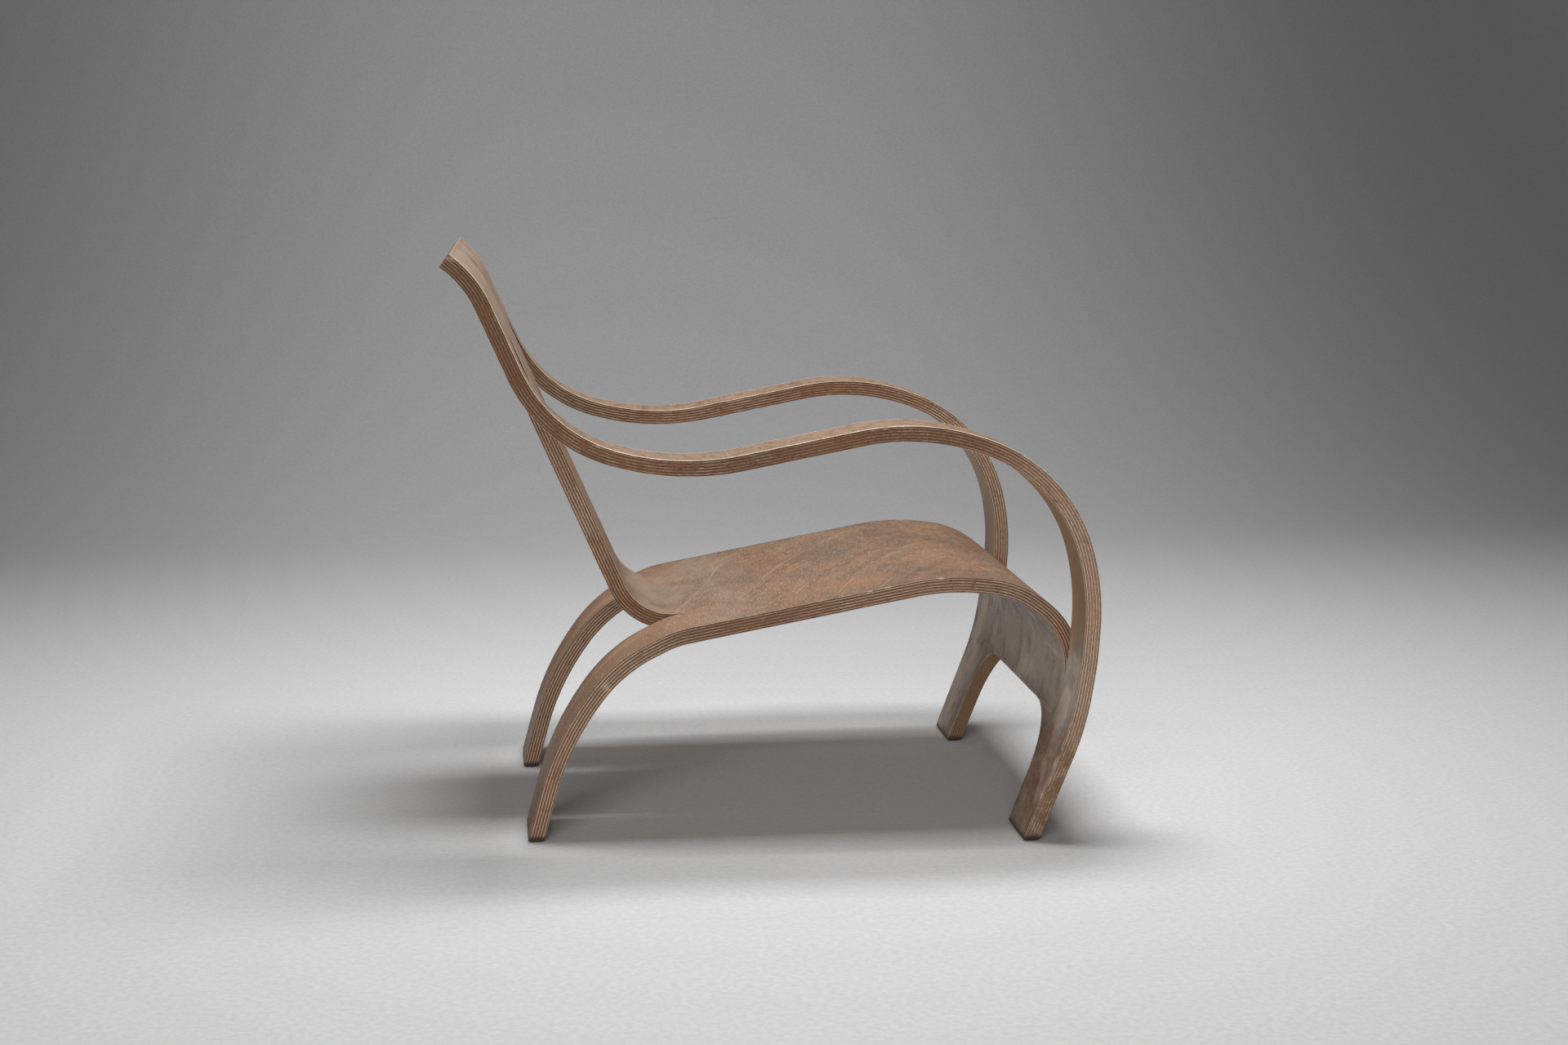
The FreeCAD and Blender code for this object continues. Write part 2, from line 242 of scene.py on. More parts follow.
class Blank:
    """Middle surface of the bent sheet: places, directions and flat coordinates, in millimetres."""

    def __init__(self):
        self.found = {}
        self.rows = []
        self.quads = []

    def point(self, place, direction, y, flat):
        """Number of the point here. The shift keeps round sizes away from where rounding flips."""
        shift = 0.003
        key = (round(place.x + shift, 2), round(y + shift, 2), round(place.y + shift, 2))
        if key not in self.found:
            self.found[key] = len(self.rows)
            self.rows.append((place.x, y, place.y, direction.x, direction.y, flat))
        return self.found[key]

    def ribbon(self, line, stops, low, high, flat_from, flat_scale=1.0, middle=2, sides=(1, -1)):
        """Quads between two edges, each a side or a curve, on both halves of the chair by default."""
        for side in sides:
            before = None
            for s in stops:
                place, direction = station(line, s)
                a, b = sorted((edge(s) if callable(edge) else edge) * side for edge in (low, high))
                flat = flat_from + s * flat_scale
                row = [self.point(place, direction, y, flat) for y in columns(a, b, middle)]
                if before:
                    for j in range(len(row) - 1):
                        self.quads.append((before[j], row[j], row[j + 1], before[j + 1]))
                before = row


def columns(a, b, middle):
    """Places across a ribbon, closer together near its edges."""
    width = b - a
    if width < NO_ROWS:
        return [a, b]
    scale = min(1.0, width / FULL_ROWS)
    near = [step * scale for step in EDGE_ROWS]
    inside = np.linspace(a + near[-1], b - near[-1], middle + 2)[1:-1]
    return [a + n for n in near] + list(inside) + [b - n for n in reversed(near)]


def steps(start, end, size):
    return list(np.linspace(start, end, max(2, int(math.ceil((end - start) / size)) + 1)))


def rounded_steps(start, radius, count):
    return [start + radius * (1 - math.cos(math.pi / 2 * i / count)) for i in range(count + 1)]


def make_blank(step):
    blank = Blank()
    crest = rounded_steps(0, CREST_ROUND, 5) + steps(CREST_ROUND, CREST_LENGTH, step)[1:]
    blank.ribbon(ARM_LINE, crest, SLIT_SIDE, arm_outer, 0, middle=3)
    blank.ribbon(ARM_LINE, crest, ROOT_SIDE, SLIT_SIDE, 0, middle=0)
    blank.ribbon(ARM_LINE, crest, -ROOT_SIDE, ROOT_SIDE, 0, middle=6, sides=(1,))
    arm = rounded_steps(CREST_LENGTH, SLIT_ROUND, 16) + steps(CREST_LENGTH + SLIT_ROUND, ARM_LENGTH, step)[1:]
    blank.ribbon(ARM_LINE, arm, arm_inner, arm_outer, 0, middle=3)

    tongue_length = length_of(TONGUE_LINE)
    blank.ribbon(TONGUE_LINE, steps(0, tongue_length, step), lambda s: -tongue_side(s), tongue_side,
                 CREST_LENGTH, SEAT_SHARE, middle=6, sides=(1,))
    seat_flat = CREST_LENGTH + tongue_length * SEAT_SHARE
    seat = steps(0, length_of(SEAT_LINE), step)
    blank.ribbon(SEAT_LINE, seat, -TOE_SIDE, TOE_SIDE, seat_flat, SEAT_SHARE, middle=6, sides=(1,))
    blank.ribbon(SEAT_LINE, seat, TOE_SIDE, REAR_INSIDE, seat_flat, SEAT_SHARE, middle=0)
    blank.ribbon(SEAT_LINE, seat, REAR_INSIDE, SEAT_SIDE, seat_flat, SEAT_SHARE)
    rear_length = length_of(REAR_LINE)
    rear = [0] + steps(FOOT_ROW, rear_length, step)
    blank.ribbon(REAR_LINE, rear, REAR_INSIDE, SEAT_SIDE, seat_flat - rear_length)

    apron = steps(0, ARCH_START, step)
    blank.ribbon(LEG_LINE, apron, -TOE_SIDE, TOE_SIDE, ARM_LENGTH, middle=6, sides=(1,))
    leg_length = length_of(LEG_LINE)
    leg = rounded_steps(ARCH_START, ARCH_ROUND, 14)
    leg += steps(ARCH_START + ARCH_ROUND, leg_length - FOOT_ROW, step)[1:] + [leg_length]
    for stops, inner, strip in ((apron, TOE_SIDE, REAR_INSIDE), (leg, leg_inner, leg_strip)):
        blank.ribbon(LEG_LINE, stops, inner, strip, ARM_LENGTH, middle=0)
        blank.ribbon(LEG_LINE, stops, strip, SEAT_SIDE, ARM_LENGTH)
        blank.ribbon(LEG_LINE, stops, SEAT_SIDE, ARM_INSIDE, ARM_LENGTH, middle=0)
        blank.ribbon(LEG_LINE, stops, ARM_INSIDE, leg_outer, ARM_LENGTH, middle=3)
    return blank


def skew_crest(data):
    """Moves the rows near the crest's end along the sheet, most at the far corner."""
    for row in data:
        if row[FLAT] < SKEW_REACH:
            row[FLAT] += SKEW * (row[Y] / (2 * CREST_SIDE) + 0.5) * (1 - row[FLAT] / SKEW_REACH) ** 2
            place, direction = station(ARM_LINE, row[FLAT])
            row[[X, Z, TRAVEL_X, TRAVEL_Z]] = place.x, place.y, direction.x, direction.y


def free_edges(quads):
    """Directed edges that only one quad has."""
    used = {(a, b): None for quad in quads for a, b in zip(quad, quad[1:] + quad[:1])}
    return [(a, b) for a, b in used if (b, a) not in used]


class Sheet:
    """Arrays of the blank in metres, with its free edges and their inward directions."""

    def __init__(self, step):
        blank = make_blank(step)
        data = np.array(blank.rows)
        skew_crest(data)
        none = np.zeros(len(data))
        self.place = np.stack([data[:, X], data[:, Y], data[:, Z]], 1) * MM
        self.travel = np.stack([data[:, TRAVEL_X], none, data[:, TRAVEL_Z]], 1)
        self.normal = np.stack([-data[:, TRAVEL_Z], none, data[:, TRAVEL_X]], 1)
        self.flat = np.stack([data[:, FLAT] * MM, data[:, Y] * MM], 1)
        self.quads = blank.quads
        self.edges = free_edges(self.quads)
        self.inward = np.zeros((len(data), 3))
        self.rim = np.zeros(len(data), bool)
        for a, b in self.edges:
            run = self.place[b] - self.place[a]
            inside = np.cross((self.normal[a] + self.normal[b]) / 2, run)
            inside /= max(np.linalg.norm(inside), 1e-9)
            for v in (a, b):
                self.inward[v] += inside
                self.rim[v] = True
        size = np.linalg.norm(self.inward, axis=1, keepdims=True)
        self.inward = np.divide(self.inward, size, out=np.zeros_like(self.inward), where=size > 1e-6)
        self.foot = self.rim & (np.abs(self.place[:, 2]) < 1e-6)
        self.from_edge = self.edge_distance()

    def edge_distance(self):
        """Distance from each point to the nearest free edge, a batch of points at a time."""
        ends = np.array(self.edges)
        a, b = self.place[ends[:, 0]], self.place[ends[:, 1]]
        run = b - a
        square = np.maximum((run ** 2).sum(1), 1e-12)
        nearest = np.empty(len(self.place))
        batch = 400
        for i in range(0, len(self.place), batch):
            gap = self.place[i:i + batch, None] - a[None]
            share = np.clip((gap * run[None]).sum(2) / square, 0, 1)
            nearest[i:i + batch] = np.sqrt(((gap - share[..., None] * run[None]) ** 2).sum(2)).min(1)
        return nearest


# Wear of the cut edges

def ripple(values, pitch, seed):
    """Smooth noise along one direction, from -1 to 1."""
    knots = np.random.default_rng(seed).uniform(-1, 1, 4096)
    at = values / pitch + 512
    low = np.floor(at).astype(int)
    share = at - low
    share = share * share * (3 - 2 * share)
    return knots[low % len(knots)] * (1 - share) + knots[(low + 1) % len(knots)] * share


# Chips: place along and across the blank, reach and depth in metres, then middle ply and number of plies
CHIPS = [
    (0.000, -0.305, 0.010, 0.0042, -1, 4), (0.006, 0.304, 0.006, 0.0020, 0, 3),
    (0.654, -0.311, 0.004, 0.0018, 0, 1), (0.296, -0.309, 0.004, 0.0014, 0, 1),
    (0.458, -0.235, 0.004, 0.0012, 6, 3), (0.838, -0.235, 0.004, 0.0013, 0, 1),
    (0.815, -0.235, 0.003, 0.0011, 0, 1), (0.905, -0.235, 0.004, 0.0010, 0, 1),
    (1.247, -0.305, 0.006, 0.0012, 10, 1), (1.292, -0.305, 0.005, 0.0010, 10, 1),
    (0.615, 0.311, 0.004, 0.0012, 0, 1), (0.660, 0.235, 0.004, 0.0012, 10, 2),
    (0.930, 0.235, 0.004, 0.0010, 0, 1),
]


def chipped(sheet, number):
    """Depth of the chips in this ply's cut edge, and how bare the wood is there."""
    depth = np.zeros(len(sheet.place))
    bare = np.zeros(len(sheet.place))
    for s, y, reach, deep, middle, plies in CHIPS:
        share = 1 - abs(number - middle) / (plies + 0.001)
        if share <= 0:
            continue
        gap = np.hypot(sheet.flat[:, 0] - s, sheet.flat[:, 1] - y) / reach
        near = np.clip(1.2 - gap, 0, 1)
        depth = np.maximum(depth, deep * share * near)
        bare = np.maximum(bare, np.clip(near * 1.6, 0, 1) * min(1.0, 0.35 + share))
    return depth, bare


def edge_inset(sheet, sizes, number, chips):
    """How far this ply's cut edge stands back: uneven, chipped, and worn at the feet."""
    s, y, z = sheet.flat[:, 0], sheet.flat[:, 1], sheet.place[:, 2]
    run = s + y * 0.9
    uneven = np.abs(ripple(run + z * 0.7, 0.013, 31 + number)) * 0.6
    uneven = uneven + np.abs(ripple(run, 0.0045, 77 + number)) * 0.4
    back = sizes.relief * (0.25 + uneven) * (1.0 if number % 2 else 0.4) + chips
    low = np.clip(1 - z / 0.008, 0, 1)
    return back + sizes.foot_wear * low ** 2 * (0.6 + 0.4 * ripple(y + number * 0.013, 0.006, 3))


def edge_levels(sheet, sizes, number, back):
    """Heights over the sheet's middle and insets down a ply's cut edge, and the rings worn like its face."""
    s, y, z = sheet.flat[:, 0], sheet.flat[:, 1], sheet.place[:, 2]
    top = sizes.ply * (len(PLIES) / 2 - number)
    under = top - sizes.ply
    run = s + y * 0.9
    radius = sizes.arris * (1.0 + 0.45 * ripple(run + z, 0.05, 5) + 0.25 * ripple(run, 0.009, 6))
    angles = [math.radians(angle) for angle in (0, 22.5, 45, 67.5, 90)]
    rolled = [(radius * (1 - math.sin(angle)), back + radius * (1 - math.cos(angle))) for angle in angles]
    skim = 0.06 * MM
    if number == 0:
        levels = [(top - skim - drop, inset) for drop, inset in reversed(rolled)] + [(under, back)]
        return levels, range(0, len(rolled) - 1)
    if number == len(PLIES) - 1:
        return [(top, back)] + [(under + skim + drop, inset) for drop, inset in rolled], range(1, len(rolled))
    return [(top, back), (under, back)], range(0)


def edge_rings(sheet, sizes, number, levels):
    """The sheet's points at each level, with the feet rounded up from the floor."""
    foot = sheet.foot
    half = sizes.ply * len(PLIES) / 2
    lift = ripple(sheet.flat[:, 1] + sheet.flat[:, 0], 0.007, 9 + number)
    lift = sizes.foot_wear * 1.5 * (0.8 + 0.2 * lift)
    rings = []
    for height, inset in levels:
        height = np.broadcast_to(height, len(foot))
        points = sheet.place + sheet.normal * height[:, None] + sheet.inward * inset[:, None]
        target = lift * np.clip((np.abs(height) / half - 0.5) / 0.5, 0, 1) ** 2
        rise = (target[foot] - points[foot, 2]) / sheet.travel[foot, 2]
        points[foot] += sheet.travel[foot] * rise[:, None]
        rings.append(points)
    return rings


def ply_mesh(name, sheet, rings, worn):
    """A ply's two faces and the rings of its cut edge as one closed mesh, and whose point each vertex is."""
    count, last = len(sheet.place), len(rings) - 1
    rim = np.flatnonzero(sheet.rim)
    where = [list(range(count))]
    for i in range(1, last):
        numbers = np.zeros(count, int)
        numbers[rim] = 2 * count + (i - 1) * len(rim) + np.arange(len(rim))
        where.append(numbers.tolist())
    where.append(list(range(count, 2 * count)))
    faces = list(sheet.quads) + [tuple(count + v for v in reversed(quad)) for quad in sheet.quads]
    slots = [0] * len(faces)
    for a, b in sheet.edges:
        for i in range(last):
            faces.append((where[i][b], where[i][a], where[i + 1][a], where[i + 1][b]))
            slots.append(0 if i in worn else 1)
    mesh = bpy.data.meshes.new(name)
    vertices = [rings[0], rings[-1]] + [ring[rim] for ring in rings[1:-1]]
    mesh.from_pydata(np.concatenate(vertices).tolist(), [], faces)
    mesh.polygons.foreach_set("material_index", slots)
    owners = np.concatenate([np.arange(count), np.arange(count)] + [rim] * (last - 1))
    depths = [np.ones(count), np.zeros(count)] + [np.full(len(rim), 1 - i / last) for i in range(1, last)]
    return mesh, owners, np.concatenate(depths)


def ply_object(name, sheet, sizes, number, materials):
    """One veneer of the sheet as a closed solid, with worn arrises on the two outer ones."""
    chips, bare = chipped(sheet, number)
    levels, worn = edge_levels(sheet, sizes, number, edge_inset(sheet, sizes, number, chips))
    mesh, owners, share = ply_mesh(name, sheet, edge_rings(sheet, sizes, number, levels), worn)
    flat = np.column_stack([sheet.flat[owners], share])
    mesh.attributes.new("flat", "FLOAT_VECTOR", "POINT").data.foreach_set("vector", flat.ravel())
    ply = np.full(len(bare), float(number))
    for title, values in (("from_edge", sheet.from_edge), ("bare", bare), ("ply", ply)):
        mesh.attributes.new(title, "FLOAT", "POINT").data.foreach_set("value", values[owners])
    for material in materials:
        mesh.materials.append(material)
    mesh.shade_smooth()
    mesh.set_sharp_from_angle(angle=math.radians(38))
    mesh.validate()
    item = bpy.data.objects.new(name + "_wood", mesh)
    bpy.context.collection.objects.link(item)
    return item


# Shader maths

class Wire:
    """A socket of a material's nodes. Arithmetic on it adds Math nodes."""

    def __init__(self, tree, socket=None):
        self.tree = tree
        self.socket = socket

    def node(self, kind, settings=None, values=None, output=0):
        """Any node: its settings first, then the values or links of its sockets."""
        made = self.tree.nodes.new(kind)
        for name, setting in (settings or {}).items():
            setattr(made, name, setting)
        for name, value in (values or {}).items():
            if isinstance(value, Wire):
                self.tree.links.new(value.socket, made.inputs[name])
            else:
                made.inputs[name].default_value = value
        return Wire(self.tree, made.outputs[output])

    def math(self, operation, *values):
        return self.node("ShaderNodeMath", {"operation": operation}, dict(enumerate(values)))

    def __add__(self, other):
        return self.math("ADD", self, other)

    __radd__ = __add__

    def __sub__(self, other):
        return self.math("SUBTRACT", self, other)

    def __rsub__(self, other):
        return self.math("SUBTRACT", other, self)

    def __mul__(self, other):
        return self.math("MULTIPLY", self, other)

    __rmul__ = __mul__

    def __truediv__(self, other):
        return self.math("DIVIDE", self, other)

    def __abs__(self):
        return self.math("ABSOLUTE", self)

    def larger(self, other):
        return self.math("MAXIMUM", self, other)

    def axis(self, number):
        return self.node("ShaderNodeSeparateXYZ", None, {0: self}, number)

    def band(self, low, high):
        """0 below low, 1 above high, smooth between."""
        return self.node("ShaderNodeMapRange", {"interpolation_type": "SMOOTHSTEP"},
                         {"Value": self, "From Min": low, "From Max": high})

    def past(self, edge, soft):
        """0 before an edge and 1 past it, softened by this much to each side."""
        return self.band(edge - soft, edge + soft)

    def between(self, low, high, soft):
        """1 from low to high, with soft ends."""
        return self.past(low, soft) * (1 - self.past(high, soft))

    def blend(self, one, two):
        """Colours mixed by this value."""
        return self.node("ShaderNodeMix", {"data_type": "RGBA", "clamp_factor": True},
                         {0: self, 6: colour(one), 7: colour(two)}, 2)

    def noise(self, scale, detail=2.0, rough=0.5, distort=0.0):
        """Noise at this place, about 0.5 in the middle."""
        return self.node("ShaderNodeTexNoise", {"noise_dimensions": "3D"}, {
            "Vector": self, "Scale": scale, "Detail": detail, "Roughness": rough, "Distortion": distort})

    def stretched(self, x, y, z, detail=2.0, rough=0.5, distort=0.0):
        """Noise of another scale along each axis. The third sets noises of one scale apart."""
        scaled = self.node("ShaderNodeVectorMath", {"operation": "MULTIPLY"}, {0: self, 1: (x, y, z)})
        return scaled.noise(1.0, detail, rough, distort)


def colour(value):
    return value if isinstance(value, Wire) else (value[0], value[1], value[2], 1.0)


def toned(tint, share):
    """A colour made darker, or lighter with a share over 1."""
    return tuple(c * share for c in tint)


def joined(wire, x, y, z):
    return wire.node("ShaderNodeCombineXYZ", None, {0: x, 1: y, 2: z})


def layered(base, *layers):
    """A colour with others laid over it, each given as (share, colour)."""
    for share, tint in layers:
        base = share.blend(base, tint)
    return base


def new_material(name):
    material = bpy.data.materials.new(name)
    material.use_nodes = True
    material.node_tree.nodes.clear()
    return material, Wire(material.node_tree)


def surface(tint, rough, height, distance, coat, specular):
    """A shaded surface whose relief follows a height."""
    bump = tint.node("ShaderNodeBump", None, {"Height": height, "Strength": 1.0, "Distance": distance})
    return tint.node("ShaderNodeBsdfPrincipled", None, {
        "Base Color": tint, "Roughness": rough, "Normal": bump,
        "Coat Weight": coat, "Coat Roughness": 0.35, "Specular IOR Level": specular})


def finish_material(shader):
    end = shader.tree.nodes.new("ShaderNodeOutputMaterial")
    shader.tree.links.new(shader.socket, end.inputs["Surface"])


class WoodPlace:
    """Where a point of a ply lies: s along and y across the flat blank, its depth in the ply, its height."""

    def __init__(self, wire):
        self.wire = wire
        self.flat = wire.node("ShaderNodeAttribute", {"attribute_name": "flat"}, None, 1)
        self.s, self.y, self.share = (self.flat.axis(number) for number in range(3))
        self.off = abs(self.y)
        self.chair = wire.node("ShaderNodeTexCoord", None, None, 3)
        # 1 within 3 mm of the floor, fading out by 10 mm: the feet are darkened there
        self.low = 1 - self.chair.axis(2).band(0.003, 0.010)
        self.bare = self.stored("bare")

    def stored(self, name):
        return self.wire.node("ShaderNodeAttribute", {"attribute_name": name}, None, 2)


# Landmarks across the blank, in metres from its middle
ARM_FROM = ARM_INSIDE * MM
SEAT_TO = 0.2365


class FaceWood(WoodPlace):
    """Face veneer: growth figure, pores, flecks, stains, haze, a painted sheen beside the slits and worn
    arrises.
    """

    def __init__(self, wire, looks, tint, dark, warm):
        super().__init__(wire)
        self.looks, self.tint, self.dark, self.warm = looks, tint, dark, warm
        self.from_edge = self.stored("from_edge")
        flat, s, y = self.flat, self.s, self.y
        self.arms = self.off.past(ARM_FROM, 0.0015) * (1 - s.band(0.86, 1.02))
        self.cloud = flat.stretched(4.2, 3.4, 0, 3.0, 0.55, 0.3)
        self.patch = flat.stretched(16, 9, 0.3, 4.0, 0.62, 0.5)
        self.fine = flat.stretched(75, 34, 0, 4.0, 0.65, 0.2)
        self.grit = flat.stretched(1500, 900, 0, 2.0, 0.6)
        self.bands = self.growth(5.2, 0.0135, 0.115, 1.7)
        self.lines = self.growth(2.6, 0.110, 0.26, 9.4).band(0.995, 0.9999)
        self.lines = self.lines * flat.stretched(8, 5, 2).band(0.46, 0.60)
        grain = joined(wire, s * (1 - y * 1.1) + y * 0.62, y, s * 0)
        self.pores = grain.stretched(620, 62, 0, 2.0, 0.6, 0.2)
        self.flecks = grain.stretched(520, 58, 4, 1.5, 0.55, 0.3)
        self.fleck_share = self.flecks.band(0.53, 0.64) * (0.35 + self.cloud.band(0.36, 0.62) * 0.65)

    def growth(self, stretch, pitch, sway, seed):
        """Growth lines that fan out across the seat: waves of the distance, warped by noise."""
        warp = self.flat.stretched(stretch, stretch * 0.6, seed, 2.0, 0.5, 0.2)
        fan = self.s * (1 - self.y * 2.1) + self.y * 0.97
        turns = (fan + warp * sway) * (2 * math.pi / pitch)
        return turns.math("SINE", turns) * 0.5 + 0.5

    def ground(self):
        """Colour of the wood before its stains."""
        tint, dark, cloud, patch = self.tint, self.dark, self.cloud, self.patch
        orange = self.flat.stretched(6.5, 4.5, 3, 3.0, 0.55, 0.3)
        ashen = self.flat.stretched(7.7, 5.2, 8, 3.0, 0.6, 0.4)
        smudge = self.flat.stretched(23, 31, 2.4, 5.0, 0.70, 0.4)
        wide = self.growth(3.1, 0.052, 0.20, 5.1)
        rings = self.growth(4.4, 0.0072, 0.060, 3.3)
        return layered(
            (cloud * 0.55 + patch * 0.45).band(0.38, 0.62).blend(dark, tint),
            (orange.between(0.56, 0.9, 0.05) * 0.62, self.warm),
            (ashen.band(0.52, 0.66) * 0.45, self.looks.ash),
            (wide.band(0.25, 0.95) * 0.26, toned(dark, 0.62)),
            (self.bands.band(0.35, 0.95) * patch.band(0.35, 0.6) * 0.30, toned(dark, 0.66)),
            (self.fine.band(0.40, 0.62) * 0.34, toned(tint, 1.42)),
            (smudge.band(0.50, 0.66) * 0.26, toned(dark, 0.72)),
            (rings.band(0.62, 0.98) * cloud.band(0.40, 0.60) * 0.24, toned(tint, 1.55)),
        )

    def marks(self, pores, flecks):
        """Pale growth lines, dark pores and pale flecks, as layers."""
        looks = self.looks
        return (
            (self.lines * looks.figure, looks.worn),
            (self.pores.band(0.50, 0.70) * pores, toned(self.dark, 0.42)),
            (self.fleck_share * looks.fleck * flecks, looks.worn),
        )

    def spots(self):
        """Large soft stains of the seat: place, reach along and across, strength and colour."""
        ash, warm = self.looks.ash, self.warm
        for at_s, at_y, reach_s, reach_y, strength, stain in (
            (0.805, 0.085, 0.055, 0.110, 0.62, toned(ash, 0.82)),
            (0.660, 0.040, 0.050, 0.120, 0.42, ash),
            (0.812, -0.165, 0.060, 0.055, 0.62, toned(warm, 1.18)),
            (0.925, -0.020, 0.060, 0.100, 0.55, warm),
            (0.985, 0.030, 0.045, 0.085, 0.62, toned(warm, 0.55)),
            (0.735, -0.120, 0.060, 0.100, 0.35, toned(self.tint, 1.3)),
        ):
            long, wide = self.s - at_s, self.y - at_y
            spot = 1 - (long * long / reach_s ** 2 + wide * wide / reach_y ** 2).band(0.0, 1.0)
            yield spot * strength * self.patch.band(0.32, 0.56), stain

    def sitter_stains_and_sheen(self):
        """Rubbed arms, pale bloom, a painted sheen beside the slits, rear legs and the polished seat front.
        """
        s, off, patch, arms, looks = self.s, self.off, self.patch, self.arms, self.looks
        bloom = ((1 - s.band(0.10, 0.30)) * 0.55).larger(s.between(0.47, 0.66, 0.05) * (1 - arms) * 0.45)
        # painted sheen: the faces beside the slits, seen at a grazing slant, are made paler with a light
        # beige
        painted_slit_sheen = s.between(0.15, 0.52, 0.03) * off.between(0.122, 0.180, 0.008)
        rear = s.between(0.20, 0.60, 0.05) * off.between(0.1363, 0.236, 0.0002)
        seat = (1 - off.past(SEAT_TO, 0.001)) * s.band(0.52, 0.58)
        polish = s.between(0.98, 1.08, 0.03) * seat * patch.band(0.35, 0.55) * self.y.band(0.0, 0.18)
        return (
            (arms * self.fine.band(0.30, 0.60) * 0.62, looks.beige),
            (bloom * patch.band(0.30, 0.62), looks.haze),
            (painted_slit_sheen * (0.50 + patch * 0.35), toned(looks.beige, 1.75)),
            (rear * 0.62, (self.fleck_share * 0.55).blend(toned(self.warm, 0.98), looks.worn)),
            (polish * 0.7, toned(self.warm, 0.6)),
        )

    def under_stains(self):
        """Bleached apron with cuts, blotches and streaks, drips, ochre loops, brown near leg, sooty edges."""
        flat, s, y, dark, looks = self.flat, self.s, self.y, self.dark, self.looks
        slant = flat.node("ShaderNodeMapping", None, {"Vector": flat, "Rotation": (0, 0, 0.82)})
        cuts = slant.stretched(65, 560, 0, 2.0, 0.5, 0.3).band(0.60, 0.70) * s.band(1.13, 1.20)
        blotch = flat.stretched(16, 24, 5, 4.0, 0.68, 0.3)
        streaky = s.between(1.07, 1.14, 0.025) * flat.stretched(60, 14, 3, 3.0, 0.65, 0.6).band(0.54, 0.68)
        drips = flat.stretched(6, 34, 7, 3.0, 0.6, 0.3).band(0.40, 0.62)
        rusty = flat.stretched(10, 7, 1, 3.0, 0.6).band(0.50, 0.68)
        near_side = 1 - y.band(0.02, 0.14) * 0.75
        foxed = s.band(1.17, 1.235) * (0.62 + 0.38 * blotch.band(0.36, 0.56)) * near_side
        soot = (1 - self.from_edge.band(0.003, 0.03)) * s.band(1.14, 1.18)
        return (
            (s.band(1.06, 1.14) * (0.45 + self.cloud.band(0.36, 0.60) * 0.55) * 0.85, looks.bleached),
            (cuts * flat.stretched(14, 14, 6).band(0.42, 0.56) * 0.75, toned(dark, 0.35)),
            (s.band(1.04, 1.10) * blotch.band(0.47, 0.62) * 0.62, toned(dark, 0.72)),
            (streaky * 0.45, toned(looks.bleached, 1.25)),
            (drips * 0.40, toned(self.tint, 1.25)),
            (rusty * 0.35, looks.ochre),
            (foxed * 0.94, self.fine.band(0.36, 0.62).blend(toned(looks.rust, 0.74), (0.290, 0.158, 0.088))),
            (s.between(0.84, 1.10, 0.07) * self.off.past(ARM_FROM, 0.002) * 0.75, looks.ochre),
            (soot * 0.35 * self.patch.band(0.3, 0.6), toned(dark, 0.55)),
        )

    def rubbed_edges(self, under):
        """Dirt beside the edges and bare wood on the arrises, most where hands hold the chair."""
        s, off, cream = self.s, self.off, self.looks.cream
        broken = self.flat.stretched(70, 42, 1, 3.0, 0.62)
        rubbed = (0.0010 + broken * 0.0022 - self.from_edge).band(-0.0004, 0.0006)
        yield (1 - self.from_edge.band(0.001, 0.012)) * 0.20, toned(self.dark, 0.7)
        if under:
            yield rubbed * 0.35 * broken.band(0.36, 0.52), cream
            return
        outer = off.band(0.285, 0.295) * s.band(0.012, 0.022) * (1 - s.band(0.86, 1.02))
        held = outer.larger(self.arms * s.band(0.21, 0.24))
        yield rubbed * (0.16 + held * 0.84) * broken.band(0.34, 0.40), cream
        near_corner = (1 - s.band(0.003, 0.018)) * (0 - self.y).band(0.288, 0.303)
        yield near_corner * self.grit.band(0.30, 0.50), toned(cream, 1.22)


def face_wood(name, looks, tint, dark, warm, under):
    """Material of a face veneer, on the sitter's side or on the underside."""
    material, wire = new_material(name)
    wood = FaceWood(wire, looks, tint, dark, warm)
    base = wood.ground()
    if under:
        base = layered(base, *wood.marks(0.13, 0.22), *wood.under_stains())
    else:
        base = layered(base, *wood.spots(), *wood.marks(0.26, 1.0), *wood.sitter_stains_and_sheen())
    base = layered(
        base, *wood.rubbed_edges(under),
        (wood.bare * wood.grit.band(0.35, 0.60), looks.cream),
        # darker within a centimetre of the floor, at the feet
        (wood.low * (0.55 + wood.fine * 0.8), looks.foot_darkening),
    )
    rough = 0.40 + wood.patch * 0.22 + wood.pores * 0.10 - wood.lines * 0.05
    relief = wood.pores * -0.40 + wood.grit * 0.18 + wood.flecks * 0.22 + wood.bands * 0.14 + wood.fine * 0.25
    finish_material(surface(base, rough, relief, 0.00026, coat=0.04, specular=0.38))
    return material


# Strengths that differ between the light and the dark plies' cut edges
EdgeKind = namedtuple("EdgeKind", "stain front legs grey")
LIGHT_PLY = EdgeKind(2.1, 0.55, 0.70, 1.75)
DARK_PLY = EdgeKind(1.0, 0.12, 0.22, 0.86)


